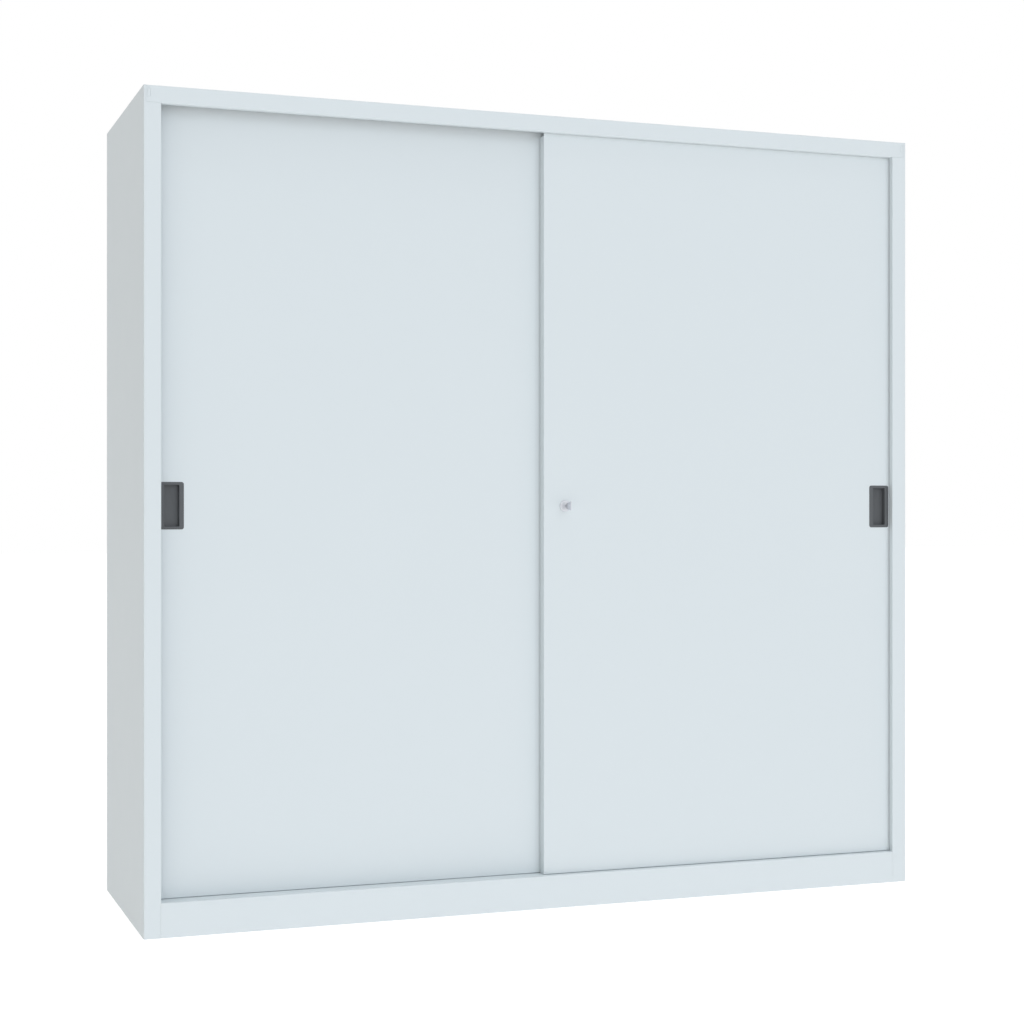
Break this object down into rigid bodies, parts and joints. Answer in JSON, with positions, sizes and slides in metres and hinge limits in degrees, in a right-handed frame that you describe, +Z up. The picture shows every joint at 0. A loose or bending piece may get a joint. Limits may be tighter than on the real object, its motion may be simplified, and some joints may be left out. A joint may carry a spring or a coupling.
{
  "type": "sliding door cabinet",
  "caption": "Tall painted steel office cabinet with overlapping sliding doors, dark recessed pulls, a key lock, shelves and levelling feet.",
  "frame": {"origin": "middle of the footprint, on the floor", "axes": "+X to the right along the front, +Y from the front to the back, +Z up"},
  "size_m": [2, 0.6233, 1.95],
  "materials": {
    "painted_steel": "fine satin powder coat",
    "zinc_steel": "zinc plated",
    "lock_chrome": "satin nickel plate",
    "key_steel": "nickel plated",
    "pull_plastic": "fine matt texture",
    "nylon": "turned nylon",
    "rubber": "matt",
    "foot_plastic": "matt"
  },
  "bodies": {
    "carcass": {"left_side_panel": "painted_steel", "right_side_panel": "painted_steel", "top_panel": "painted_steel", "plinth": "painted_steel", "bottom_panel": "painted_steel", "back_panel_left": "painted_steel", "back_panel_right": "painted_steel", "centre_partition": "painted_steel", "shelf_uprights_left_wall": "painted_steel", "shelf_uprights_partition_left": "painted_steel", "shelf_uprights_partition_right": "painted_steel", "shelf_uprights_right_wall": "painted_steel", "shelf_clips_left": "zinc_steel", "shelf_clips_right": "zinc_steel", "shelf_left_1": "painted_steel", "shelf_left_2": "painted_steel", "shelf_left_3": "painted_steel", "shelf_left_4": "painted_steel", "shelf_right_1": "painted_steel", "shelf_right_2": "painted_steel", "shelf_right_3": "painted_steel", "shelf_right_4": "painted_steel", "foot_brackets": "zinc_steel", "foot_nuts": "zinc_steel", "front_track": "zinc_steel", "rear_track": "zinc_steel", "front_track_buffers": "rubber", "rear_track_buffers": "rubber", "floor_guide": "nylon"},
    "front_door": {"front_door_panel": "painted_steel", "front_door_guide_channel": "zinc_steel", "front_door_stiffener": "painted_steel", "front_door_hangers": "zinc_steel", "front_hanger_bolts": "zinc_steel", "front_roller_axles": "zinc_steel", "front_pull_cup": "pull_plastic", "lock_housing": "lock_chrome", "lock_nut": "zinc_steel"},
    "rear_door": {"rear_door_panel": "painted_steel", "rear_door_guide_channel": "zinc_steel", "rear_door_stiffener": "painted_steel", "rear_door_hangers": "zinc_steel", "rear_hanger_bolts": "zinc_steel", "rear_roller_axles": "zinc_steel", "rear_pull_cup": "pull_plastic", "strike_plate": "zinc_steel"},
    "lock_barrel": {"lock_barrel": "lock_chrome", "lock_latch": "lock_chrome"},
    "lock_plug": {"lock_plug": "lock_chrome", "key": "key_steel"},
    "front_roller_left": {"front_roller_left": "nylon"},
    "front_roller_right": {"front_roller_right": "nylon"},
    "rear_roller_left": {"rear_roller_left": "nylon"},
    "rear_roller_right": {"rear_roller_right": "nylon"},
    "foot_front_left": {"foot_front_left": "foot_plastic"},
    "foot_front_right": {"foot_front_right": "foot_plastic"},
    "foot_rear_left": {"foot_rear_left": "foot_plastic"},
    "foot_rear_right": {"foot_rear_right": "foot_plastic"}
  },
  "joints": [
    {"name": "front_door_slide", "type": "slide", "parent": "carcass", "child": "front_door", "axis": [-1, 0, 0], "range_m": [0, 0.95]},
    {"name": "rear_door_slide", "type": "slide", "parent": "carcass", "child": "rear_door", "axis": [1, 0, 0], "range_m": [0, 0.87]},
    {"name": "lock_press", "type": "slide", "parent": "front_door", "child": "lock_barrel", "axis": [0, -1, 0], "range_m": [-0.01, 0], "stiffness_N_per_m": 200},
    {"name": "key_turn", "type": "hinge", "parent": "lock_barrel", "child": "lock_plug", "pos_m": [0.0394, -0.283, 0.9896], "axis": [0, 1, 0], "range_deg": [0, 90]},
    {"name": "front_roller_left_turn", "type": "hinge", "parent": "front_door", "child": "front_roller_left", "pos_m": [0.053, -0.265, 1.9345], "axis": [0, 1, 0], "continuous": true},
    {"name": "front_roller_right_turn", "type": "hinge", "parent": "front_door", "child": "front_roller_right", "pos_m": [0.903, -0.265, 1.9345], "axis": [0, 1, 0], "continuous": true},
    {"name": "rear_roller_left_turn", "type": "hinge", "parent": "rear_door", "child": "rear_roller_left", "pos_m": [-0.903, -0.2375, 1.9345], "axis": [0, 1, 0], "continuous": true},
    {"name": "rear_roller_right_turn", "type": "hinge", "parent": "rear_door", "child": "rear_roller_right", "pos_m": [-0.053, -0.2375, 1.9345], "axis": [0, 1, 0], "continuous": true},
    {"name": "foot_front_left_screw", "type": "slide", "parent": "carcass", "child": "foot_front_left", "axis": [0, 0, -1], "range_m": [0, 0.02]},
    {"name": "foot_front_right_screw", "type": "slide", "parent": "carcass", "child": "foot_front_right", "axis": [0, 0, -1], "range_m": [0, 0.02]},
    {"name": "foot_rear_left_screw", "type": "slide", "parent": "carcass", "child": "foot_rear_left", "axis": [0, 0, -1], "range_m": [0, 0.02]},
    {"name": "foot_rear_right_screw", "type": "slide", "parent": "carcass", "child": "foot_rear_right", "axis": [0, 0, -1], "range_m": [0, 0.02]}
  ],
  "couplings": [
    {"joint": "front_roller_left_turn", "follows": "front_door_slide", "rad_per_m": -121.95},
    {"joint": "front_roller_right_turn", "follows": "front_door_slide", "rad_per_m": -121.95},
    {"joint": "rear_roller_left_turn", "follows": "rear_door_slide", "rad_per_m": 121.95},
    {"joint": "rear_roller_right_turn", "follows": "rear_door_slide", "rad_per_m": 121.95}
  ]
}
